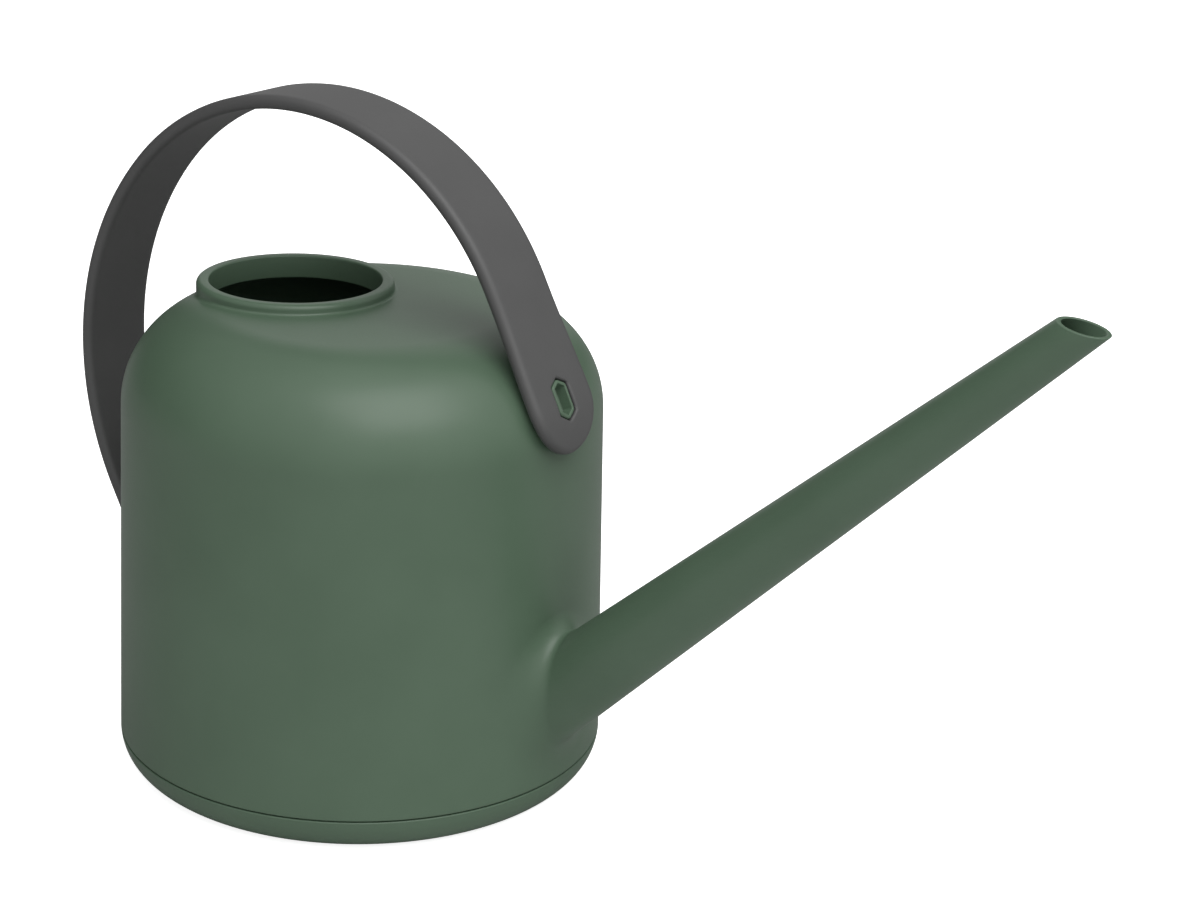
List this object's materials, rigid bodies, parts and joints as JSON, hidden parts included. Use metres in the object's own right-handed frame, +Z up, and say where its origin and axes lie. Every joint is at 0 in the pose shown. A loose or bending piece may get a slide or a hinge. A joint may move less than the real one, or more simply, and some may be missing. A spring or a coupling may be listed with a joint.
{
  "type": "watering can",
  "caption": "Small indoor watering can: round tank with a filling mouth, a long straight tapering spout, a base cap and a soft strap handle over the top.",
  "frame": {"origin": "on the tank's vertical axis, at the flat underside of the base cap", "axes": "+Z is up along the tank's axis; +X points towards the spout; +Y is to the left seen from the back, across the can's plane of symmetry"},
  "size_m": [0.329, 0.1442, 0.2004],
  "materials": {
    "tank": "satin moulded plastic, muted green",
    "base_cap": "satin moulded plastic, muted green",
    "strap_handle": "matt soft plastic, dark grey"
  },
  "bodies": {
    "root": {"tank": "tank", "base_cap": "base_cap", "strap_handle": "strap_handle"}
  },
  "joints": []
}
